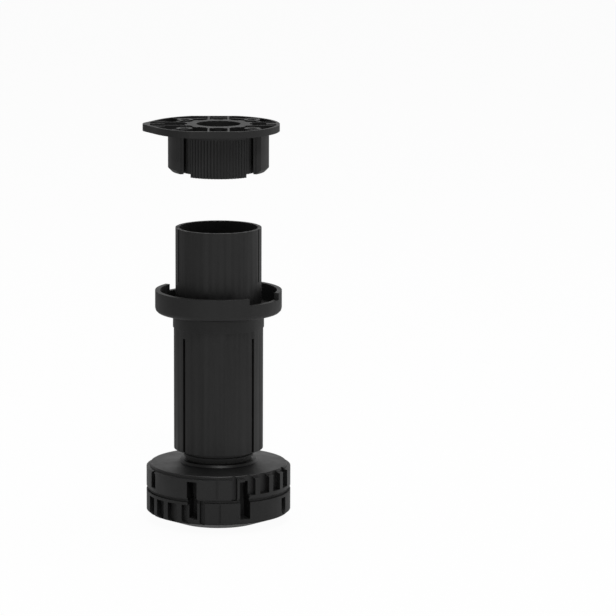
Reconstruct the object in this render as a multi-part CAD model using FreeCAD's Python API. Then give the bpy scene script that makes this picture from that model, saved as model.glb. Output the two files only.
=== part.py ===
import FreeCAD, Part
import math
import os

# Adjustable cabinet leg of black moulded plastic.
# Millimetres. The origin is the centre of the foot's sole, +Z is up and -Y is the front.
# Angles round the leg are counted from the front towards the right.

Vector = FreeCAD.Vector
UP = Vector(0, 0, 1)
ORIGIN = Vector(0, 0, 0)
CUT_MARGIN = 1.0          # how far a cutting shape reaches past the face it opens

# Foot: a floor pad and, turning on it, the adjusting wheel
foot_radius = 34.65
sole_inset = 13.85        # from the rim in to the flat sole
pad_rise = 16.0           # sole to the parting between pad and wheel
wheel_rise = 13.0         # parting to the root of the wheel's neck
sole_slope = 0.353        # rise per millimetre of the cone outside the sole
crown_slope = 0.073       # fall per millimetre of the wheel's crown, from the neck out
crown_lip_inset = 1.65    # the crown's raised lip stands in from the wall
crown_lip_height = 1.3
sole_lip_inset = 1.05     # the same lip under the pad
sole_lip_height = 0.6
lip_ledge_fall = 0.3      # the ledge outside each lip leans by this much
lip_rounding = 0.7
rounding_steps = 3        # straight stretches that draw a turned rounding
parting_depth = 1.0       # groove round the foot between pad and wheel
parting_half = 0.95       # share of the groove's height in each of them
thrust_gap = 0.1          # between the faces that turn on each other

# Pattern round both rims, written for the wheel and turned over for the pad
half_turn = 180.0
window_angles = (-21.6, 21.0)
window_width = 5.0
window_depth = 8.0
window_reach = 9.0        # height of the window's end above the parting
slot_angle = -64.1
slot_width = 4.3
slot_depth = 2.6
slot_reach = 10.4
groove_angle = 12.8
groove_width = 2.6
groove_depth = 2.5
flute_first_angle = 25.8
flute_step_angle = 13.8
flute_count = 4
flute_width = 5.6
flute_depth = 2.4
flute_reach = 11.8
rim_ledge = 2.3           # solid lip left between a closed pocket and the parting
seam_angle = -1.1
seam_width = 1.0
seam_depth = 0.6

# Screw spindle of the wheel, and its pivot on the pad
neck_step = 1.1           # the neck stands out this much from the spindle
neck_rise = 6.1           # root of the neck to the leg's lower end
neck_ring_step = 3.0      # low ring at the neck's root, wider than the neck all round
neck_ring_height = 0.9
bead_step = 0.9           # narrow bead round the neck
bead_drop = 2.4           # from the leg's lower end down to the bead
bead_thickness = 1.1
spindle_length = 52.0
spindle_wall = 3.1
wheel_web = 8.0           # solid web between the pad and the spindle's hollow
pivot_radius = 8.0
pivot_head_step = 0.8
pivot_head_rise = 3.2
pivot_slit_width = 2.4
pivot_slit_depth = 9.0
running_fit = 0.06        # radial clearance of everything that turns or slides in a bore

# Leg: a plain tube above, a wider shaft with the nut below
tube_radius = 20.55
tube_wall = 1.8
shaft_step = 0.84         # the shaft is this much wider than the tube, all round
shaft_length = 59.1       # lower end of the leg to its shoulder
tube_length = 48.0        # shoulder to the tube's top edge
nut_length = 30.0
nut_wall = 2.2
nut_space = 1.7           # open ring between the nut and the shaft's inside, crossed by ribs
nut_web = 2.0
nut_rib_count = 8
nut_rib_width = 1.6
shaft_slot_angles = (50.0, 130.0, 230.0, 310.0)
shaft_slot_width = 1.6
shaft_slot_depth = 2.0
shaft_slot_stop = 3.7     # from the shoulder down to the slot's end
shaft_strip_angles = (1.3, 181.3)
shaft_strip_width = 4.5
shaft_strip_depth = 0.25
key_slot_angles = (68.0, 112.0, 248.0, 292.0)
key_slot_width = 1.0
key_slot_depth = 0.5
key_slot_foot = 22.6      # height of the key slots' lower end above the shoulder

# Collar: a ring with a cup, pushed down the tube onto the shaft's shoulder
collar_overhang = 9.75    # the cup reaches this far out past the tube
collar_sleeve_wall = 1.21
collar_sleeve_length = 7.1
collar_rise = 10.7
collar_wall = 2.4
collar_floor = 2.4
collar_fillet = 2.3
collar_notch_angles = (50.0, 216.0)
collar_notch_width_angle = 42.0
collar_notch_depth = 3.3
collar_push_fit = 0.05

# Mounting plate: ribbed flange above, knurled plug and two lugs below
flange_radius = 31.0
flange_offset = 1.9       # centre of the round flange, to the left of the bore
flange_flat = 2.0         # taken off the disc at the front and the back
flange_thickness = 3.25
flange_web = 1.2
flange_wall = 1.3
nose_projection = 3.1     # the pointed end reaches this far past the disc
nose_radius = 9.0
nose_land = 3.6
end_land = 1.8
bore_radius = 10.5
bore_wall = 1.8
bore_depth = 20.0
crown_width = 4.5         # bore to the root of the teeth round it
crown_tooth = 1.4
crown_tooth_count = 12
crown_tooth_share = 0.52  # share of the pitch that is tooth, at its root
hub_floor = 4.0           # depth of the recess round the crown
hub_wall = 1.1
hub_wall_arc = 140.0
plug_depth = 24.0
plug_wall = 2.0
knurl_count = 72
knurl_height = 0.5
lug_depth = 22.4
lug_thickness = 3.3
lug_half_width = 13.2
lug_bevel = 1.8
lug_gap = 0.15            # between the lugs and the outside of the tube
seat_gap = 0.05           # between the tube's edge and the plate pushed home
screw_spacing = 32.0
screw_hole_radius = 2.2
screw_head_radius = 3.4
screw_land = 1.3
boss_radius = 3.9
rib_width = 0.9
rib_spread = 11.8         # between the two long ribs to each side
cross_rib_spread = 9.4    # between the two ribs to front and back
short_rib_offsets = (-10.6, 0.0, 8.7)
short_rib_length = 8.7
stub_length = 5.6
stub_width = 3.4
plate_lift = 44.35        # how far above its seat the plate is shown

# Heights that follow
wheel_foot = pad_rise + thrust_gap
neck_root = wheel_foot + wheel_rise
leg_foot = neck_root + neck_rise
leg_shoulder = leg_foot + shaft_length
leg_top = leg_shoulder + tube_length
spindle_top = leg_foot + spindle_length
hollow_floor = wheel_foot + wheel_web
collar_floor_level = leg_shoulder + collar_sleeve_length
collar_top = collar_floor_level + collar_rise
socket_roof = hub_floor + flange_web
plate_top = leg_top + seat_gap + socket_roof + plate_lift

# Radii and reaches that follow
tube_bore_radius = tube_radius - tube_wall
nut_radius = tube_bore_radius - nut_space
nut_bore_radius = nut_radius - nut_wall
spindle_radius = nut_bore_radius - running_fit
spindle_hollow_radius = spindle_radius - spindle_wall
neck_radius = spindle_radius + neck_step
sole_radius = foot_radius - sole_inset
shaft_radius = tube_radius + shaft_step
collar_radius = tube_radius + collar_overhang
collar_bore_radius = tube_radius + collar_push_fit
collar_sleeve_radius = collar_bore_radius + collar_sleeve_wall
flange_half_depth = flange_radius - flange_flat
nose_reach = flange_offset + flange_radius + nose_projection
crown_root_radius = bore_radius + crown_width
crown_tip_radius = crown_root_radius + crown_tooth
plug_radius = tube_bore_radius - running_fit
lug_inner_radius = tube_radius + lug_gap
lug_outer_radius = lug_inner_radius + lug_thickness
hub_radius = lug_inner_radius + hub_wall
crown_lip_radius = foot_radius - crown_lip_inset
neck_ring_radius = neck_radius + neck_ring_step
crown_edge = neck_root - crown_slope * (crown_lip_radius - neck_radius)
crown_ring_foot = neck_root - crown_slope * neck_ring_step
sole_lip_radius = foot_radius - sole_lip_inset
sole_edge = sole_slope * (sole_lip_radius - sole_radius)
parting_radius = foot_radius - parting_depth


def turned(points):
    """Solid of revolution about Z from a closed outline of (radius, height) points."""
    corners = [Vector(radius, 0, height) for radius, height in points]
    outline = Part.makePolygon(corners + [corners[0]])
    return Part.Face(outline).revolve(ORIGIN, UP, 360)


def ring(outer_radius, inner_radius, bottom, top):
    """Straight round wall between two heights."""
    height = top - bottom
    base = Vector(0, 0, bottom)
    outer = Part.makeCylinder(outer_radius, height, base)
    reach = Vector(0, 0, bottom - CUT_MARGIN)
    return outer.cut(Part.makeCylinder(inner_radius, height + 2 * CUT_MARGIN, reach))


def block(x_low, x_high, y_low, y_high, z_low, z_high):
    """Rectangular block between six planes."""
    size = (x_high - x_low, y_high - y_low, z_high - z_low)
    return Part.makeBox(*size, Vector(x_low, y_low, z_low))


def prism(points, bottom, top):
    """Upright prism over a closed plan outline of (x, y) points."""
    corners = [Vector(x, y, bottom) for x, y in points]
    outline = Part.makePolygon(corners + [corners[0]])
    return Part.Face(outline).extrude(Vector(0, 0, top - bottom))


def turn_to(shape, angle):
    """The shape, made at the front, carried round the leg's axis."""
    moved = shape.copy()
    moved.rotate(ORIGIN, UP, angle)
    return moved


def rounded(before, corner, after, radius):
    """Outline points that round the corner between two straight stretches."""
    middle = Vector(*corner)
    back = (Vector(*before) - middle).normalize()
    on = (Vector(*after) - middle).normalize()
    half_angle = back.getAngle(on) / 2
    centre = middle + (back + on).normalize() * (radius / math.sin(half_angle))
    start = middle + back * (radius / math.tan(half_angle)) - centre
    sweep = math.pi - 2 * half_angle
    if start.cross(middle - centre).z < 0:
        sweep = -sweep
    points = []
    for step in range(rounding_steps + 1):
        angle = sweep * step / rounding_steps
        points.append((centre.x + start.x * math.cos(angle) - start.y * math.sin(angle),
                       centre.y + start.x * math.sin(angle) + start.y * math.cos(angle)))
    return points


def upright_slot(width, depth, radius, bottom, top, arched=False):
    """Cutting shape at the front for a pocket of this depth in a wall of this radius."""
    half = width / 2
    left_foot = Vector(-half, 0, bottom)
    right_foot = Vector(half, 0, bottom)
    spring = top - half if arched else top
    right_head = Vector(half, 0, spring)
    left_head = Vector(-half, 0, spring)
    edges = [Part.makeLine(left_foot, right_foot), Part.makeLine(right_foot, right_head)]
    if arched:
        crown = Vector(0, 0, top)
        edges.append(Part.Arc(right_head, crown, left_head).toShape())
    else:
        edges.append(Part.makeLine(right_head, left_head))
    edges.append(Part.makeLine(left_head, left_foot))
    face = Part.Face(Part.Wire(edges))
    face.translate(Vector(0, -radius - CUT_MARGIN, 0))
    return face.extrude(Vector(0, depth + CUT_MARGIN, 0))


def rim_pattern():
    """Cutting shapes of one rim, standing on the parting plane, both half turns."""
    below = -CUT_MARGIN
    past_edge = wheel_rise + CUT_MARGIN
    window = upright_slot(window_width, window_depth, foot_radius, below, window_reach)
    slot = upright_slot(slot_width, slot_depth, foot_radius, rim_ledge, slot_reach, True)
    groove = upright_slot(groove_width, groove_depth, foot_radius, below, flute_reach, True)
    flute = upright_slot(flute_width, flute_depth, foot_radius, rim_ledge, flute_reach, True)
    seam = upright_slot(seam_width, seam_depth, foot_radius, below, past_edge)
    placed = [(window, angle) for angle in window_angles]
    placed += [(slot, slot_angle), (groove, groove_angle), (seam, seam_angle)]
    for index in range(flute_count):
        placed.append((flute, flute_first_angle + index * flute_step_angle))
    cutters = []
    for cutter, angle in placed:
        cutters.append(turn_to(cutter, angle))
        cutters.append(turn_to(cutter, angle + half_turn))
    return cutters


def floor_pad():
    """Lower half of the foot: stays still on the floor and carries the pivot post."""
    head_foot = hollow_floor + thrust_gap
    head_radius = pivot_radius + pivot_head_step
    ledge = sole_edge + sole_lip_height
    groove_foot = pad_rise - parting_half
    pad = turned([
        (0, 0),
        (sole_radius, 0),
        (sole_lip_radius, sole_edge),
        (sole_lip_radius, ledge),
        (foot_radius, ledge + lip_ledge_fall),
        (foot_radius, groove_foot),
        (parting_radius, groove_foot),
        (parting_radius, pad_rise),
        (pivot_radius, pad_rise),
        (pivot_radius, head_foot),
        (head_radius, head_foot),
        (pivot_radius, head_foot + pivot_head_rise),
        (0, head_foot + pivot_head_rise),
    ])
    slit_top = head_foot + pivot_head_rise
    slit_half = pivot_slit_width / 2
    slit = block(-foot_radius, foot_radius, -slit_half, slit_half,
                 slit_top - pivot_slit_depth, slit_top + CUT_MARGIN)
    slit = slit.common(Part.makeCylinder(head_radius + CUT_MARGIN, slit_top + CUT_MARGIN))
    cutters = [slit]
    for cutter in rim_pattern():
        turned_over = cutter.copy()
        turned_over.rotate(ORIGIN, Vector(0, 1, 0), half_turn)
        turned_over.translate(Vector(0, 0, pad_rise))
        cutters.append(turned_over)
    return pad.cut(cutters)


def adjusting_wheel():
    """Upper half of the foot with the hollow screw spindle that lifts the leg."""
    groove_head = wheel_foot + parting_half
    ledge = crown_edge - crown_lip_height
    lip_foot = (crown_lip_radius, ledge)
    lip = (crown_lip_radius, crown_edge)
    ring_foot = (neck_ring_radius, crown_ring_foot)
    ring_head = (neck_ring_radius, neck_root + neck_ring_height)
    neck_foot = (neck_radius, neck_root + neck_ring_height)
    bead_top = leg_foot - bead_drop
    bead_foot = bead_top - bead_thickness
    bead_radius = neck_radius + bead_step
    wheel = turned([
        (pivot_radius + running_fit, wheel_foot),
        (parting_radius, wheel_foot),
        (parting_radius, groove_head),
        (foot_radius, groove_head),
        (foot_radius, ledge - lip_ledge_fall),
        lip_foot]
        + rounded(lip_foot, lip, ring_foot, lip_rounding) + [
        ring_foot]
        + rounded(ring_foot, ring_head, neck_foot, lip_rounding) + [
        neck_foot,
        (neck_radius, bead_foot),
        (bead_radius, bead_foot),
        (bead_radius, bead_top),
        (neck_radius, bead_top),
        (neck_radius, leg_foot - seat_gap),
        (spindle_radius, leg_foot - seat_gap),
        (spindle_radius, spindle_top),
        (spindle_hollow_radius, spindle_top),
        (spindle_hollow_radius, hollow_floor),
        (pivot_radius + running_fit, hollow_floor),
    ])
    cutters = []
    for cutter in rim_pattern():
        raised = cutter.copy()
        raised.translate(Vector(0, 0, wheel_foot))
        cutters.append(raised)
    return wheel.cut(cutters)


def nut():
    """Threaded bush inside the shaft, with its ribs and the web at its top."""
    bush_top = leg_foot + nut_length
    bush = ring(nut_radius, nut_bore_radius, leg_foot, bush_top)
    web = ring(shaft_radius - tube_wall / 2, nut_bore_radius, bush_top - nut_web, bush_top)
    pieces = [web]
    overlap = (nut_radius - nut_bore_radius) / 2
    for index in range(nut_rib_count):
        rib = block(nut_radius - overlap, tube_bore_radius + overlap,
                    -nut_rib_width / 2, nut_rib_width / 2, leg_foot, bush_top)
        pieces.append(turn_to(rib, (index + 0.5) * 360 / nut_rib_count))
    return bush.fuse(pieces)


def leg_tube():
    """The leg itself: shaft, narrower tube above its shoulder, and the nut."""
    body = turned([
        (tube_bore_radius, leg_foot),
        (shaft_radius, leg_foot),
        (shaft_radius, leg_shoulder),
        (tube_radius, leg_shoulder),
        (tube_radius, leg_top),
        (tube_bore_radius, leg_top),
    ])
    body = body.fuse(nut()).removeSplitter()
    cutters = []
    slot_foot = leg_foot - CUT_MARGIN
    slot_head = leg_shoulder - shaft_slot_stop
    shaft_slot = upright_slot(shaft_slot_width, shaft_slot_depth, shaft_radius,
                              slot_foot, slot_head)
    for angle in shaft_slot_angles:
        cutters.append(turn_to(shaft_slot, angle))
    strip = upright_slot(shaft_strip_width, shaft_strip_depth, shaft_radius,
                         slot_foot, slot_head)
    for angle in shaft_strip_angles:
        cutters.append(turn_to(strip, angle))
    key_slot = upright_slot(key_slot_width, key_slot_depth, tube_radius,
                            leg_shoulder + key_slot_foot, leg_top + CUT_MARGIN)
    for angle in key_slot_angles:
        cutters.append(turn_to(key_slot, angle))
    return body.cut(cutters)


def collar_ring():
    """Loose collar: a sleeve round the tube that opens into a shallow cup."""
    cup_floor = collar_floor_level + collar_floor
    sleeve_head = (collar_sleeve_radius, collar_floor_level)
    cup_foot = (collar_radius, collar_floor_level)
    rim = (collar_radius, collar_top)
    collar = turned([
        (collar_bore_radius, leg_shoulder),
        (collar_sleeve_radius, leg_shoulder),
        sleeve_head]
        + rounded(sleeve_head, cup_foot, rim, collar_fillet) + [
        rim,
        (collar_radius - collar_wall, collar_top),
        (collar_radius - collar_wall, cup_floor),
        (collar_bore_radius, cup_floor),
    ])
    notch_foot = collar_top - collar_notch_depth
    inner = collar_radius - collar_wall - CUT_MARGIN
    notch = Part.makeCylinder(collar_radius + CUT_MARGIN, collar_notch_depth + CUT_MARGIN,
                              Vector(0, 0, notch_foot), UP, collar_notch_width_angle)
    core = Part.makeCylinder(inner, collar_notch_depth + 2 * CUT_MARGIN,
                             Vector(0, 0, notch_foot - CUT_MARGIN / 2))
    notch = turn_to(notch.cut(core), -90 - collar_notch_width_angle / 2)
    return collar.cut([turn_to(notch, angle) for angle in collar_notch_angles])


def flange_outline(inset):
    """Plan face of the flange: a disc with flat front and back and a pointed left end."""
    disc_radius = flange_radius - inset
    tip_radius = nose_radius - inset
    centre = Vector(-flange_offset, 0, 0)
    tip_centre = Vector(-nose_reach + nose_radius, 0, 0)
    gap = centre.x - tip_centre.x
    lean = math.acos((disc_radius - tip_radius) / gap)
    sides = []
    for middle, radius in ((centre, disc_radius), (tip_centre, tip_radius)):
        for side in (1, -1):
            reach = Vector(-math.cos(lean), side * math.sin(lean), 0)
            sides.append(middle + reach * radius)
    disc_back, disc_front, tip_back, tip_front = sides
    tail = Part.Face(Part.makePolygon([disc_back, tip_back, tip_front, disc_front, disc_back]))
    disc = Part.Face(Part.Wire(Part.makeCircle(disc_radius, centre)))
    tip = Part.Face(Part.Wire(Part.makeCircle(tip_radius, tip_centre)))
    half = flange_half_depth - inset
    length = nose_reach + flange_radius
    band = Part.makePlane(2 * length, 2 * half, Vector(-length, -half, 0))
    return disc.fuse([tip, tail]).removeSplitter().common(band)


def flange():
    """Web, rim wall and end lands of the flange; its top face is at height 0."""
    sheet = flange_outline(0).extrude(Vector(0, 0, flange_thickness))
    sheet.translate(Vector(0, 0, -flange_thickness))
    pocket = flange_outline(flange_wall).extrude(Vector(0, 0, flange_thickness))
    pocket.translate(Vector(0, 0, -flange_thickness + flange_web))
    right_end = flange_radius - flange_offset
    field = block(-nose_reach + nose_land, right_end - end_land,
                  -flange_radius, flange_radius, -flange_thickness, CUT_MARGIN)
    return sheet.cut(pocket.common(field))


def toothed_crown():
    """Toothed land round the bore."""
    points = []
    pitch = 2 * math.pi / crown_tooth_count
    half_tooth = pitch * crown_tooth_share / 2
    half_tip = half_tooth * crown_root_radius / crown_tip_radius * 0.8
    for index in range(crown_tooth_count):
        middle = (index + 0.5) * pitch
        for offset, radius in ((-half_tooth, crown_root_radius), (-half_tip, crown_tip_radius),
                               (half_tip, crown_tip_radius), (half_tooth, crown_root_radius)):
            angle = middle + offset
            points.append((radius * math.cos(angle), radius * math.sin(angle)))
    return prism(points, -hub_floor - flange_web / 2, 0)


def knurled_plug():
    """Finely ribbed plug that grips the inside of the tube."""
    points = []
    for index in range(2 * knurl_count):
        radius = plug_radius if index % 2 == 0 else plug_radius - knurl_height
        angle = index * math.pi / knurl_count
        points.append((radius * math.cos(angle), radius * math.sin(angle)))
    plug = prism(points, -plug_depth, -hub_floor)
    core_radius = plug_radius - knurl_height - plug_wall
    core = Part.makeCylinder(core_radius, plug_depth, Vector(0, 0, -plug_depth - socket_roof))
    side = block(lug_half_width, flange_radius, -flange_radius, flange_radius,
                 -plug_depth - CUT_MARGIN, -lug_depth)
    return plug.cut([core, side, turn_to(side, half_turn)])


def lugs():
    """Two lugs that grip the outside of the tube, left and right."""
    band = turned([
        (lug_inner_radius, -lug_depth),
        (lug_outer_radius - lug_bevel, -lug_depth),
        (lug_outer_radius, -lug_depth + lug_bevel),
        (lug_outer_radius, -flange_thickness + flange_web / 2),
        (lug_inner_radius, -flange_thickness + flange_web / 2),
    ])
    field = block(-flange_radius, flange_radius, -lug_half_width, lug_half_width,
                  -lug_depth, 0)
    return band.common(field)


def hub():
    """Sunk floor round the crown, roof of the socket that takes the tube's edge."""
    floor = ring(hub_radius, bore_radius, -socket_roof, -hub_floor)
    wall = ring(hub_radius, lug_inner_radius, -socket_roof, -flange_thickness + flange_web)
    arc = Part.makeCylinder(flange_radius, flange_thickness, Vector(0, 0, -flange_thickness),
                            UP, hub_wall_arc)
    back_wall = ring(hub_radius, lug_inner_radius, -flange_thickness, 0)
    back_wall = back_wall.common(turn_to(arc, 90 - hub_wall_arc / 2))
    bore_tube = ring(bore_radius + bore_wall, bore_radius, -bore_depth, -hub_floor)
    return floor.fuse([wall, back_wall, bore_tube])


def flange_ribs():
    """Ribs that stand on the web, flush with the top face."""
    left_end = -nose_reach + nose_land / 2
    right_end = flange_radius - flange_offset - end_land / 2
    low = -flange_thickness
    half = rib_width / 2
    ribs = []
    for side in (1, -1):
        middle = side * rib_spread / 2
        ribs.append(block(left_end, right_end, middle - half, middle + half, low, 0))
        middle = side * cross_rib_spread / 2
        ribs.append(block(middle - half, middle + half,
                          -flange_half_depth + half, flange_half_depth - half, low, 0))
    for middle in short_rib_offsets:
        ribs.append(block(left_end, left_end + short_rib_length,
                          middle - half, middle + half, low, 0))
    ribs.append(block(right_end - stub_length, right_end, -stub_width / 2, stub_width / 2, low, 0))
    diagonal = block(-half, half, -flange_radius, -screw_spacing / math.sqrt(2), low, 0)
    for angle in (45, 135, 225, 315):
        ribs.append(turn_to(diagonal, angle))
    outline = flange_outline(flange_wall / 2).extrude(Vector(0, 0, flange_thickness))
    outline.translate(Vector(0, 0, -flange_thickness))
    return [rib.common(outline) for rib in ribs]


def screw_places():
    """Centres of the four screw holes."""
    half = screw_spacing / 2
    return [(x, y) for x in (-half, half) for y in (-half, half)]


def mounting_plate():
    """Plate that is screwed under the cabinet, shown lifted off the leg."""
    bosses = []
    for x, y in screw_places():
        bosses.append(Part.makeCylinder(boss_radius, flange_thickness,
                                        Vector(x, y, -flange_thickness)))
    hub_space = Part.makeCylinder(lug_inner_radius, flange_thickness + CUT_MARGIN,
                                  Vector(0, 0, -flange_thickness - CUT_MARGIN / 2))
    plate = flange().cut(hub_space)
    plate = plate.fuse([hub(), toothed_crown(), knurled_plug(), lugs()] + bosses + flange_ribs())
    cutters = [Part.makeCylinder(bore_radius, plug_depth, Vector(0, 0, -plug_depth + CUT_MARGIN))]
    for x, y in screw_places():
        cutters.append(Part.makeCylinder(screw_hole_radius, 2 * flange_thickness,
                                         Vector(x, y, -flange_thickness - CUT_MARGIN)))
        cutters.append(Part.makeCylinder(screw_head_radius, plug_depth,
                                         Vector(x, y, -screw_land - plug_depth)))
    plate = plate.cut(cutters).removeSplitter()
    plate.translate(Vector(0, 0, plate_top))
    return plate


def write(name, shape):
    """Check that a piece is one sound solid and write it."""
    solids = shape.Solids
    print(name, "solids", len(solids), "valid", shape.isValid(), "volume", round(shape.Volume))
    part = solids[0] if len(solids) == 1 else Part.makeCompound(solids)
    part.exportStep("parts/" + name + ".step")


def main():
    os.makedirs("parts", exist_ok=True)
    write("floor_pad", floor_pad())
    write("adjusting_wheel", adjusting_wheel())
    write("leg_tube", leg_tube())
    write("collar_ring", collar_ring())
    write("mounting_plate", mounting_plate())
    print("leg top", round(leg_top, 2), "plate top", round(plate_top, 2))


main()
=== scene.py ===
# %% [markdown]
# # An adjustable cabinet leg in black plastic
#
# The object is a kitchen cabinet's leg, drawn taken apart: a ribbed mounting plate floats above a
# tube, the tube carries a cupped collar, and a screw foot with a notched rim stands on the floor.
# Everything is one black plastic, so what makes it read is not colour but shape: crisp ribs,
# rounded edges that catch the light, and the fine grain that a mould leaves.
#
# The pieces come in at their real size and place. The lesson adds the finish to them.

# %% Load the pieces
import math

import bmesh
import bpy
from mathutils import Matrix, Vector


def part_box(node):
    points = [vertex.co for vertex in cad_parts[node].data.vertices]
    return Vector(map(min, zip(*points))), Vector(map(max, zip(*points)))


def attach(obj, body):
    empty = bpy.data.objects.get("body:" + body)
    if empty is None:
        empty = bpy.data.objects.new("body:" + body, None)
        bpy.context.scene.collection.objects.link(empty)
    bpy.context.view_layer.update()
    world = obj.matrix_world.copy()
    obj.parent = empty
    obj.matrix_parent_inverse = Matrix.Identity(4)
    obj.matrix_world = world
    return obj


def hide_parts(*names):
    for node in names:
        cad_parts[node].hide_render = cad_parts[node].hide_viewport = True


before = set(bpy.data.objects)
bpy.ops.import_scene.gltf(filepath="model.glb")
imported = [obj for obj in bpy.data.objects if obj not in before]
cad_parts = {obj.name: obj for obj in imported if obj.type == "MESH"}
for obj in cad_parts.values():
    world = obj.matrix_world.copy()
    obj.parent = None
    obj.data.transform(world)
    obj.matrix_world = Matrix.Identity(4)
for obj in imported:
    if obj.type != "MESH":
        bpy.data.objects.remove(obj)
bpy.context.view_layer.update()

MM = 0.001
for name in sorted(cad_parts):
    low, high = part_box(name)
    size = [round((high[axis] - low[axis]) / MM, 1) for axis in range(3)]
    print(name, "measures", size, "mm")

# %% [markdown]
# ## The camera
#
# A long lens flattens the leg: the tube's mouth is seen at about 9 degrees above level and the
# foot at about 12, and that change over the leg's height fixes how far away the eye is.
# The leg stands left of the picture's middle. Instead of sliding the picture sideways, the camera
# turns a little to the right, and a small roll keeps the leg upright.

# %% Place the camera
PICTURE_WIDTH = 616.0            # pixels
SENSOR_WIDTH = 36.0              # millimetres
FOCAL_PIXELS = 3824.4            # focal length, in pixels of the picture
EYE_DISTANCE = 1.8               # metres in front of the leg's axis
EYE_HEIGHT = 0.429               # metres above the floor
LOOK_DOWN = math.radians(10.26)
LEG_AXIS_X = 218.5               # pixels, where the leg's axis stands in the picture

left_of_middle = PICTURE_WIDTH / 2 - LEG_AXIS_X
turn = math.atan(left_of_middle / (FOCAL_PIXELS * math.cos(LOOK_DOWN)))
roll = math.atan(left_of_middle * math.tan(LOOK_DOWN) / FOCAL_PIXELS)
camera_data = bpy.data.cameras.new("photo_camera")
camera_data.sensor_width = SENSOR_WIDTH
camera_data.lens = FOCAL_PIXELS / PICTURE_WIDTH * SENSOR_WIDTH
camera = bpy.data.objects.new("photo_camera", camera_data)
bpy.context.scene.collection.objects.link(camera)
aim = Matrix.Rotation(-turn, 4, "Z") @ Matrix.Rotation(math.pi / 2 - LOOK_DOWN, 4, "X")
camera.matrix_world = (Matrix.Translation((0, -EYE_DISTANCE, EYE_HEIGHT)) @ aim
                       @ Matrix.Rotation(roll, 4, "Z"))
bpy.context.scene.camera = camera
print("lens", round(camera_data.lens, 1), "mm, turned", round(math.degrees(turn), 2), "degrees")

# %% [markdown]
# ## Two helpers for materials
#
# Colours are easiest to think of as the hex values that a screen shows, but a shader works with
# linear light, so one function turns the first into the second. A second small function adds a
# node, fills in its inputs and links them: a number or colour is set, a socket is linked.

# %% Colour and node helpers
def linear(hex_colour):
    """An sRGB hex colour as linear red, green, blue and alpha."""
    channels = [int(hex_colour[place:place + 2], 16) / 255 for place in (1, 3, 5)]
    return [c / 12.92 if c <= 0.04045 else ((c + 0.055) / 1.055) ** 2.4 for c in channels] + [1.0]


def add_node(tree, kind, inputs=(), **settings):
    """Add a node, set its properties, then set or link each of its inputs."""
    node = tree.nodes.new(kind)
    for setting, value in settings.items():
        setattr(node, setting, value)
    for socket, value in dict(inputs).items():
        target = node.inputs[socket]
        if isinstance(value, bpy.types.NodeSocket):
            tree.links.new(value, target)
        else:
            target.default_value = value
    return node


print("a screen's middle grey is", round(linear("#808080")[0], 3), "in linear light")

# %% [markdown]
# ## Black polypropylene
#
# The real leg is injection-moulded in polypropylene, dyed through with carbon black. The mould is
# spark-eroded, which prints a fine, even grain on every face: highlights spread out softly and the
# black looks like charcoal. Polypropylene's index of refraction is about 1.49. Four things make the
# finish: the grain itself as bump, a slight unevenness of the gloss where the melt cooled at
# different speeds, faint upright streaks where the steel was polished along the way the part is
# pulled out, and a very faint cloudiness of the colour.
#
# The real grain is about 0.05 mm, too fine for this picture, so it is drawn at about 0.3 mm.

# %% The plastic's material
POLYPROPYLENE_IOR = 1.49
GRAIN = 0.3 * MM
GRAIN_DEPTH = 0.04 * MM
GRAIN_STRENGTH = 0.35
GLOSS_PATCH = 9 * MM             # size of a patch that cooled alike
CLOUD = 25 * MM                  # size of a patch of slightly paler black
STREAK = 2.6 * MM                # width of an upright streak
STREAK_STRETCH = 0.02            # a streak is fifty times as long as it is wide
NOISE_LOW = 0.3                  # a noise texture seldom goes below this
NOISE_HIGH = 0.7                 # and seldom above this


def moulded_plastic(name, dark, pale, roughness, swing, streaks):
    """Black polypropylene with a spark-eroded grain, between two close blacks.

    The roughness goes up and down by the swing, in patches or in upright streaks: with a
    streaks value of 0 there are only patches, with 1 only streaks.
    """
    material = bpy.data.materials.new(name)
    material.use_nodes = True
    tree = material.node_tree
    tree.nodes.clear()
    place = add_node(tree, "ShaderNodeTexCoord").outputs["Object"]
    cloud = add_node(tree, "ShaderNodeTexNoise",
                     {"Vector": place, "Scale": 1 / CLOUD, "Detail": 3.0})
    colour = add_node(tree, "ShaderNodeMix",
                      {"Factor": cloud.outputs["Fac"], "A": linear(dark), "B": linear(pale)},
                      data_type="RGBA")
    upright = add_node(tree, "ShaderNodeMapping",
                       {"Vector": place, "Scale": (1, 1, STREAK_STRETCH)})
    drawn = add_node(tree, "ShaderNodeTexNoise",
                     {"Vector": upright.outputs["Vector"], "Scale": 1 / STREAK, "Detail": 2.0})
    patches = add_node(tree, "ShaderNodeTexNoise",
                       {"Vector": place, "Scale": 1 / GLOSS_PATCH, "Detail": 4.0})
    mixed = add_node(tree, "ShaderNodeMix",
                     {"Factor": streaks, "A": patches.outputs["Fac"], "B": drawn.outputs["Fac"]})
    gloss = add_node(tree, "ShaderNodeMapRange",
                     {"Value": mixed.outputs["Result"], "From Min": NOISE_LOW,
                      "From Max": NOISE_HIGH, "To Min": roughness - swing,
                      "To Max": roughness + swing})
    grain = add_node(tree, "ShaderNodeTexNoise",
                     {"Vector": place, "Scale": 1 / GRAIN, "Detail": 2.0, "Roughness": 0.6})
    bump = add_node(tree, "ShaderNodeBump",
                    {"Height": grain.outputs["Fac"], "Strength": GRAIN_STRENGTH,
                     "Distance": GRAIN_DEPTH})
    shader = add_node(tree, "ShaderNodeBsdfPrincipled",
                      {"Base Color": colour.outputs["Result"],
                       "Roughness": gloss.outputs["Result"], "IOR": POLYPROPYLENE_IOR,
                       "Normal": bump.outputs["Normal"]})
    add_node(tree, "ShaderNodeOutputMaterial", {"Surface": shader.outputs["BSDF"]})
    return material


print("grain", round(GRAIN / MM, 2), "mm, streaks", round(STREAK / MM, 2), "mm wide")

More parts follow.
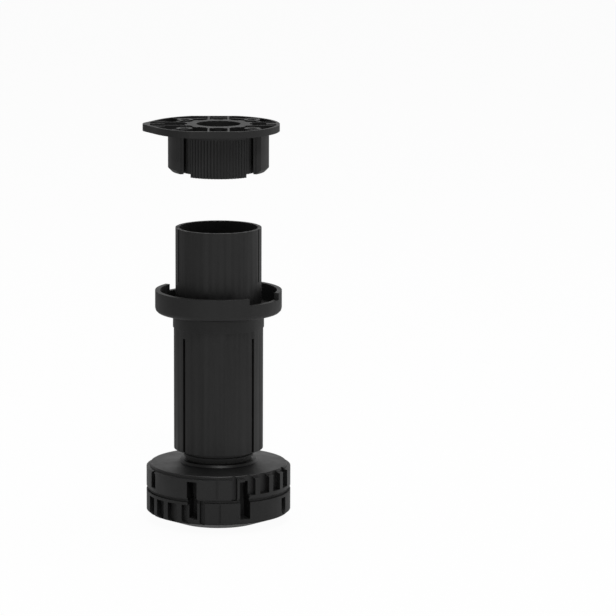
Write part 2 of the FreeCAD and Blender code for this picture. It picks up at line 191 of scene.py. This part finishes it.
# %% [markdown]
# All five mouldings are the same plastic, so one function makes it and a table holds what differs.
# The tube slides a long way along its mould as it is pushed out, so it has more of the streaks, and
# the wheel, which fingers turn, is a little glossier than the pad on the floor.

# %% Make a plastic for each piece
FINISHES = {                     # material's name, two blacks, roughness, swing, share of streaks
    "mounting_plate": ("plate_black_polypropylene", "#161616", "#1b1b1b", 0.5, 0.06, 0.2),
    "leg_tube": ("tube_black_polypropylene", "#161616", "#1b1b1b", 0.52, 0.16, 0.85),
    "collar_ring": ("collar_black_polypropylene", "#161616", "#1b1b1b", 0.5, 0.06, 0.3),
    "adjusting_wheel": ("wheel_black_polypropylene", "#161616", "#1b1b1b", 0.45, 0.06, 0.3),
    "floor_pad": ("pad_black_polypropylene", "#151515", "#1a1a1a", 0.55, 0.06, 0.3),
}
plastics = {node: moulded_plastic(*finish) for node, finish in FINISHES.items()}
print("made", len(plastics), "plastics")

# %% [markdown]
# ## A finished twin of each piece
#
# Plate, tube, collar, wheel and pad are five mouldings whose shapes come from the construction
# model, as plain triangles with sharp edges. They could be modelled again here, but then the two
# could drift apart. So each piece gets a finished twin: a copy whose loose triangles are merged
# and whose flat areas are joined into whole faces, ready for a bevel. The last number of each row
# below is how wide the rounded edge will be: moulds round the thin plate and tube less.

# %% Copy the pieces
SAME_POINT = 0.001 * MM          # points closer than this are one point
FLAT_ANGLE = math.radians(0.6)   # triangles that bend less than this are one flat face


def merged_copy(node, name):
    """A copy of a piece whose loose triangles are merged into whole faces."""
    twin = bpy.data.objects.new(name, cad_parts[node].data.copy())
    bpy.context.scene.collection.objects.link(twin)
    shape = bmesh.new()
    shape.from_mesh(twin.data)
    bmesh.ops.remove_doubles(shape, verts=shape.verts, dist=SAME_POINT)
    bmesh.ops.dissolve_limit(shape, angle_limit=FLAT_ANGLE, verts=shape.verts,
                             edges=shape.edges)
    shape.to_mesh(twin.data)
    shape.free()
    twin.data.materials.clear()
    twin.data.materials.append(plastics[node])
    return twin


TWINS = (                        # piece, its twin, the body it rides on, width of its edges
    ("mounting_plate", "plate_moulding", "plate", 0.18 * MM),
    ("leg_tube", "tube_moulding", "leg", 0.22 * MM),
    ("collar_ring", "collar_moulding", "leg", 0.3 * MM),
    ("adjusting_wheel", "wheel_moulding", "wheel", 0.3 * MM),
    ("floor_pad", "pad_moulding", "pad", 0.3 * MM),
)
twins = {node: merged_copy(node, name) for node, name, body, edge_width in TWINS}
for twin in twins.values():
    print(twin.name, "has", len(twin.data.polygons), "whole faces")

# %% [markdown]
# ## The ring at the neck's root
#
# The low ring at the root of the wheel's neck has a leaning wall, which mirrors the lamp above the
# front as a bright crescent. The construction solid has it upright with a rounded edge. A new ring
# would have to be cut into the wheel, so the points that are there are drawn in onto a plain cone
# instead, before the edges are rounded.

# %% Lean the wall of the neck's ring
RING_INSIDE = 18.0 * MM
RING_RADIUS = 18.89 * MM
RING_FOOT = 28.88 * MM           # heights above the floor
RING_HEAD = 30.0 * MM
LEAN = 0.6                       # distance inward for each unit of height
NEAR = 0.05 * MM                 # how far a point may lie off these sizes

leaned = 0
for vertex in twins["adjusting_wheel"].data.vertices:
    reach = math.hypot(vertex.co.x, vertex.co.y)
    height = vertex.co.z - RING_FOOT
    cone = RING_RADIUS - LEAN * height
    if RING_INSIDE < reach < RING_RADIUS + NEAR and NEAR < height < RING_HEAD - RING_FOOT + NEAR:
        vertex.co.x *= min(reach, cone) / reach
        vertex.co.y *= min(reach, cone) / reach
        leaned += 1
print("leaned", leaned, "points of the ring")

# %% [markdown]
# ## Rounded edges
#
# No moulded edge is truly sharp: a mould's corners are rounded by a few tenths of a millimetre, and
# those thin rounded strips are what catches the light on a black part. Painting a pale line along
# the edges would fake it from one side only, so a narrow bevel rounds each sharp edge for real.
# A narrow bevel beside a large face would tilt the smooth shading of that whole face, so Weighted
# Normal then lets the large faces decide, and only the bevels bend the light.

# %% Round the edges
EDGE_ANGLE = math.radians(30)    # edges that bend more than this are rounded
CREASE_ANGLE = math.radians(50)  # edges that bend more than this stay creases in the shading
BEVEL_STEPS = 2


def apply_modifiers(piece):
    """Keep what a piece's modifiers make as one plain mesh, and drop the modifiers."""
    solid = bpy.data.meshes.new_from_object(piece.evaluated_get(
        bpy.context.evaluated_depsgraph_get()))
    piece.modifiers.clear()
    piece.data = solid
    return solid


def round_edges(twin, edge_width):
    """Round a piece's sharp edges and keep its large faces plainly shaded."""
    bevel = twin.modifiers.new("rounded edges", "BEVEL")
    bevel.width = edge_width
    bevel.segments = BEVEL_STEPS
    bevel.limit_method = "ANGLE"
    bevel.angle_limit = EDGE_ANGLE
    solid = apply_modifiers(twin)
    solid.shade_smooth()
    solid.set_sharp_from_angle(angle=CREASE_ANGLE)
    steady = twin.modifiers.new("steady shading", "WEIGHTED_NORMAL")
    steady.keep_sharp = True
    apply_modifiers(twin)


for node, name, body, edge_width in TWINS:
    round_edges(twins[node], edge_width)
    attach(twins[node], body)
    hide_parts(node)
    print(name, "has", len(twins[node].data.polygons), "faces")

# %% [markdown]
# ## The screw thread
#
# The wheel carries a hollow screw that lifts the leg by 4 mm for each turn. The construction solid
# has a plain spindle as thick as the thread's crests, so the twin's spindle is first narrowed to
# the thread's root. The thread itself follows a rule, a profile swept along a helix, and that is
# what Geometry Nodes does well: a spiral curve, a four-cornered profile and Curve to Mesh.
# The profile shrinks over the first and last half turn, as a real thread runs out.

# %% Narrow the spindle to the thread's root
CREST_RADIUS = 14.79 * MM
ROOT_RADIUS = 13.5 * MM
THREAD_FOOT = 37.5 * MM          # height where the thread begins
THREAD_HEAD = 86.0 * MM          # height where it ends
PITCH = 4 * MM
WALL_INSIDE = 14.3 * MM          # the spindle's outer wall lies between these two radii
WALL_OUTSIDE = 14.9 * MM
WALL_FOOT = 34.5 * MM            # and above this height

narrowed = 0
for vertex in twins["adjusting_wheel"].data.vertices:
    reach = math.hypot(vertex.co.x, vertex.co.y)
    if WALL_INSIDE < reach < WALL_OUTSIDE and vertex.co.z > WALL_FOOT:
        vertex.co.x *= ROOT_RADIUS / CREST_RADIUS
        vertex.co.y *= ROOT_RADIUS / CREST_RADIUS
        narrowed += 1
print("moved", narrowed, "points of the spindle in to the root")

# %% Helpers that grow a mesh from a tree
def sized_tree(name, sizes):
    """A new Geometry Nodes tree with a named input for each size; returns it and its inputs."""
    tree = bpy.data.node_groups.new(name, "GeometryNodeTree")
    tree.interface.new_socket("Geometry", in_out="OUTPUT", socket_type="NodeSocketGeometry")
    for size in sizes:
        tree.interface.new_socket(size, in_out="INPUT", socket_type="NodeSocketFloat")
    return tree, tree.nodes.new("NodeGroupInput").outputs


def close_tree(tree, geometry, material):
    """End a tree in Realize Instances and Set Material."""
    real = add_node(tree, "GeometryNodeRealizeInstances", {"Geometry": geometry})
    dressed = add_node(tree, "GeometryNodeSetMaterial",
                       {"Geometry": real.outputs["Geometry"], "Material": material})
    add_node(tree, "NodeGroupOutput", {"Geometry": dressed.outputs["Geometry"]})


def grow(name, tree, sizes):
    """Run a tree on an empty mesh and keep the result as one plain mesh."""
    grown = bpy.data.objects.new(name, bpy.data.meshes.new(name))
    bpy.context.scene.collection.objects.link(grown)
    nodes = grown.modifiers.new(tree.name, "NODES")
    nodes.node_group = tree
    for socket in tree.interface.items_tree:
        if socket.in_out == "INPUT":
            nodes[socket.identifier] = sizes[socket.name]
    apply_modifiers(grown)
    return grown


print("the thread will make", round((THREAD_HEAD - THREAD_FOOT) / PITCH, 1), "turns")

# %% Draw the helix that the thread follows
STEPS_A_TURN = 40
RUN_OUT_TURNS = 0.5              # turns over which an end of the thread swells to full size
THIN_END = 0.05                  # share of the full profile at the very end

thread_sizes = {"Root radius": ROOT_RADIUS, "Depth": CREST_RADIUS - ROOT_RADIUS, "Pitch": PITCH,
                "Turns": (THREAD_HEAD - THREAD_FOOT) / PITCH, "Foot": THREAD_FOOT,
                "Crest width": 1.1 * MM, "Root width": 2.7 * MM}
tree, size = sized_tree("screw_thread", thread_sizes)
rise = add_node(tree, "ShaderNodeMath", {0: size["Turns"], 1: size["Pitch"]},
                operation="MULTIPLY")
helix = add_node(tree, "GeometryNodeCurveSpiral",
                 {"Resolution": STEPS_A_TURN, "Rotations": size["Turns"],
                  "Start Radius": size["Root radius"], "End Radius": size["Root radius"],
                  "Height": rise.outputs["Value"], "Reverse": True})
upright = add_node(tree, "GeometryNodeSetCurveNormal", {"Curve": helix.outputs["Curve"]},
                   mode="Z_UP")
along = add_node(tree, "GeometryNodeSplineParameter").outputs["Factor"]
from_end = add_node(tree, "ShaderNodeMath", {0: 1.0, 1: along}, operation="SUBTRACT")
nearer = add_node(tree, "ShaderNodeMath", {0: along, 1: from_end.outputs["Value"]},
                  operation="MINIMUM")
turns_in = add_node(tree, "ShaderNodeMath", {0: nearer.outputs["Value"], 1: size["Turns"]},
                    operation="MULTIPLY")
run_out = add_node(tree, "ShaderNodeMapRange",
                   {"Value": turns_in.outputs["Value"], "From Max": RUN_OUT_TURNS,
                    "To Min": THIN_END})
swelling = add_node(tree, "GeometryNodeSetCurveRadius",
                    {"Curve": upright.outputs["Curve"], "Radius": run_out.outputs["Result"]})
print("the helix climbs", round(thread_sizes["Turns"] * PITCH / MM, 1), "mm")

# %% Sweep the profile along the helix
SUNK = -0.2 * MM                 # the thread's foot lies this much inside the spindle


def corner(tree, outward, width, sign):
    """A corner of the thread's profile, at a distance outward and half a width up or down."""
    half = add_node(tree, "ShaderNodeMath", {0: width, 1: sign / 2}, operation="MULTIPLY")
    return add_node(tree, "ShaderNodeCombineXYZ",
                    {"X": outward, "Y": half.outputs["Value"]}).outputs["Vector"]


profile = add_node(tree, "GeometryNodeCurvePrimitiveQuadrilateral",
                   {"Point 1": corner(tree, SUNK, size["Root width"], -1),
                    "Point 2": corner(tree, size["Depth"], size["Crest width"], -1),
                    "Point 3": corner(tree, size["Depth"], size["Crest width"], 1),
                    "Point 4": corner(tree, SUNK, size["Root width"], 1)}, mode="POINTS")
sweep = add_node(tree, "GeometryNodeCurveToMesh",
                 {"Curve": swelling.outputs["Curve"], "Profile Curve": profile.outputs["Curve"],
                  "Fill Caps": True})
shift = add_node(tree, "ShaderNodeCombineXYZ", {"Z": size["Foot"]})
placed = add_node(tree, "GeometryNodeTransform",
                  {"Geometry": sweep.outputs["Mesh"], "Translation": shift.outputs["Vector"]})
close_tree(tree, placed.outputs["Geometry"], plastics["adjusting_wheel"])
print("the thread's tree has", len(tree.nodes), "nodes and", len(thread_sizes), "named sizes")

# %% Grow the thread
thread = grow("spindle_thread", tree, thread_sizes)
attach(thread, "wheel")
reaches = [math.hypot(vertex.co.x, vertex.co.y) / MM for vertex in thread.data.vertices]
print("thread of", len(thread.data.polygons), "faces, radius", round(min(reaches), 2), "to",
      round(max(reaches), 2), "mm")

# %% [markdown]
# ## The floor
#
# The leg stands on a plain white ground. Ordinary matte white paper would come out grey wherever
# the lamps reach it less, so nearly all that the camera sees there is a plain white glow, and the
# small rest is matte and keeps a trace of the shadow. The black plastic mirrors the floor too, and
# a floor equally white all round would make the leg look flat. So a pool of light is painted into
# the glow that reflections see. It is paler at the front right than at the back left, as paper
# is that is lit from one side.

# %% Build the floor
FLOOR_SIZE = 30.0                # metres
GLOW_SHARE = 0.96                # the rest is matte and takes the shadow
# The next four sizes set the pool of light painted into the floor's glow for reflections.
PAINTED_LIT_SIDE = (0.6, -0.8, 0.0)      # reflections see the paper lit from this side
PAINTED_POOL_REACH = 0.6                 # metres either way over which the light falls off
PAINTED_DIM_PAPER = 0.3                  # how bright reflections see the paper on its dim side
PAINTED_LIT_PAPER = 0.8                  # and on its lit side
PAPER = "#f2f2f2"


def white_floor_material():
    """Matte white that shows the camera plain white, and reflections a painted pool of light."""
    material = bpy.data.materials.new("matte_white_paper")
    material.use_nodes = True
    tree = material.node_tree
    tree.nodes.clear()
    rays = add_node(tree, "ShaderNodeLightPath").outputs
    mirrored = add_node(tree, "ShaderNodeMath",
                        {0: rays["Is Glossy Ray"], 1: rays["Is Transmission Ray"]},
                        operation="MAXIMUM")
    seen = add_node(tree, "ShaderNodeMath",
                    {0: rays["Is Camera Ray"], 1: mirrored.outputs["Value"]}, operation="MAXIMUM")
    share = add_node(tree, "ShaderNodeMath", {0: seen.outputs["Value"], 1: GLOW_SHARE},
                     operation="MULTIPLY")
    place = add_node(tree, "ShaderNodeTexCoord").outputs["Object"]
    # Painted light: the glow that reflections see is brighter toward the lit side and dimmer away
    # from it.
    painted_light_way = add_node(tree, "ShaderNodeVectorMath", {0: place, 1: PAINTED_LIT_SIDE},
                       operation="DOT_PRODUCT")
    painted_light_pool = add_node(tree, "ShaderNodeMapRange",
                    {"Value": painted_light_way.outputs["Value"], "From Min": -PAINTED_POOL_REACH,
                     "From Max": PAINTED_POOL_REACH, "To Min": PAINTED_DIM_PAPER, "To Max": PAINTED_LIT_PAPER},
                    interpolation_type="SMOOTHSTEP")
    strength = add_node(tree, "ShaderNodeMath",
                        {0: rays["Is Camera Ray"], 1: painted_light_pool.outputs["Result"]}, operation="MAXIMUM")
    matte = add_node(tree, "ShaderNodeBsdfDiffuse", {"Color": linear(PAPER)})
    glow = add_node(tree, "ShaderNodeEmission",
                    {"Color": linear("#ffffff"), "Strength": strength.outputs["Value"]})
    mixed = add_node(tree, "ShaderNodeMixShader",
                     {0: share.outputs["Value"], 1: matte.outputs["BSDF"],
                      2: glow.outputs["Emission"]})
    add_node(tree, "ShaderNodeOutputMaterial", {"Surface": mixed.outputs["Shader"]})
    return material


floor_mesh = bpy.data.meshes.new("floor")
half = FLOOR_SIZE / 2
floor_mesh.from_pydata([(-half, -half, 0), (half, -half, 0), (half, half, 0), (-half, half, 0)],
                       [], [(0, 1, 2, 3)])
floor_mesh.materials.append(white_floor_material())
floor = bpy.data.objects.new("floor", floor_mesh)
bpy.context.scene.collection.objects.link(floor)
print("floor of", FLOOR_SIZE, "metres a side")

# %% [markdown]
# ## The lamps
#
# The light is that of a small studio. A large soft lamp above the leg makes the level faces, such
# as the crown of the foot, the palest part. A small lamp high above the front gives the upright
# faces their grey and puts a narrow highlight on each rounded edge. A single sun lamp would be
# simpler, but its hard shadows don't suit a picture of this kind.

# %% Light the studio
def soft_lamp(name, place, target, width, height, brightness):
    """A rectangular area lamp at a place, facing a target, with the brightness of its face."""
    data = bpy.data.lights.new(name, "AREA")
    data.shape = "RECTANGLE"
    data.size = width
    data.size_y = height
    data.energy = brightness * math.pi * width * height
    lamp = bpy.data.objects.new(name, data)
    bpy.context.scene.collection.objects.link(lamp)
    lamp.location = place
    lamp.rotation_euler = (Vector(target) - Vector(place)).to_track_quat("-Z", "Y").to_euler()
    return lamp


MIDDLE = (0, 0, 0.1)             # both lamps face the middle of the leg
LAMPS = (                        # name, place, width and height in metres, brightness of the face
    ("top_softbox", (0.1, 0.15, 1.5), 1.2, 1.2, 3.5),
    ("front_lamp", (0.15, -1.15, 1.4), 0.3, 0.3, 26.0),
)
for name, place, width, height, brightness in LAMPS:
    lamp = soft_lamp(name, place, MIDDLE, width, height, brightness)
    print(name, "gives", round(lamp.data.energy, 1), "watts")

# %% [markdown]
# ## The room
#
# Black plastic shows its form mostly by what it mirrors, and a bare world has nothing to mirror.
# A room could be built from white cards, but the world's own shader can paint one: a pale wall
# behind the leg, fading to the sides and upward, which draws the bright lines along the right and
# left edges. The camera itself sees plain white, and the matte parts get a weak even light.

# %% Paint the room
ROOM_LIGHT = 0.18                # the weak even light of the room
WALL_LIGHT = 0.7                 # how bright the wall is at the floor, where it is brightest
WALL_TOP = 0.75                  # the sine of the angle above level where the wall has faded
LIT_WALL = (0.2, 0.95, 0.0)      # the way to the wall's brightest part
WALL_SIDE = 0.35                 # about the cosine of the angle from there to the dim sides
DIM_WALL = 0.15                  # share of the wall's light that the dim sides keep

world = bpy.data.worlds.new("white_room")
world.use_nodes = True
room = world.node_tree
room.nodes.clear()
rays = add_node(room, "ShaderNodeLightPath").outputs
mirrored = add_node(room, "ShaderNodeMath",
                    {0: rays["Is Glossy Ray"], 1: rays["Is Transmission Ray"]}, operation="MAXIMUM")
direction = add_node(room, "ShaderNodeTexCoord").outputs["Generated"]
toward_lit = add_node(room, "ShaderNodeVectorMath", {0: direction, 1: LIT_WALL},
                      operation="DOT_PRODUCT")
side = add_node(room, "ShaderNodeMapRange",
                {"Value": toward_lit.outputs["Value"], "From Min": WALL_SIDE, "From Max": 1.0,
                 "To Min": DIM_WALL, "To Max": 1.0}, interpolation_type="SMOOTHSTEP")
height = add_node(room, "ShaderNodeSeparateXYZ", {"Vector": direction}).outputs["Z"]
band = add_node(room, "ShaderNodeMapRange",
                {"Value": height, "From Min": 0.0, "From Max": WALL_TOP, "To Min": WALL_LIGHT,
                 "To Max": 0.0}, interpolation_type="SMOOTHSTEP")
wall = add_node(room, "ShaderNodeMath", {0: side.outputs["Result"], 1: band.outputs["Result"],
                                         2: ROOM_LIGHT}, operation="MULTIPLY_ADD")
reflected = add_node(room, "ShaderNodeMath",
                     {0: mirrored.outputs["Value"], 1: wall.outputs["Value"]},
                     operation="MULTIPLY")
seen = add_node(room, "ShaderNodeMath",
                {0: rays["Is Camera Ray"], 1: reflected.outputs["Value"]}, operation="MAXIMUM")
strength = add_node(room, "ShaderNodeMath", {0: seen.outputs["Value"], 1: ROOM_LIGHT},
                    operation="MAXIMUM")
sky = add_node(room, "ShaderNodeBackground",
               {"Color": linear("#ffffff"), "Strength": strength.outputs["Value"]})
add_node(room, "ShaderNodeOutputWorld", {"Surface": sky.outputs["Background"]})
bpy.context.scene.world = world
bpy.context.scene.view_settings.view_transform = "Standard"
print("the room's tree has", len(room.nodes), "nodes")
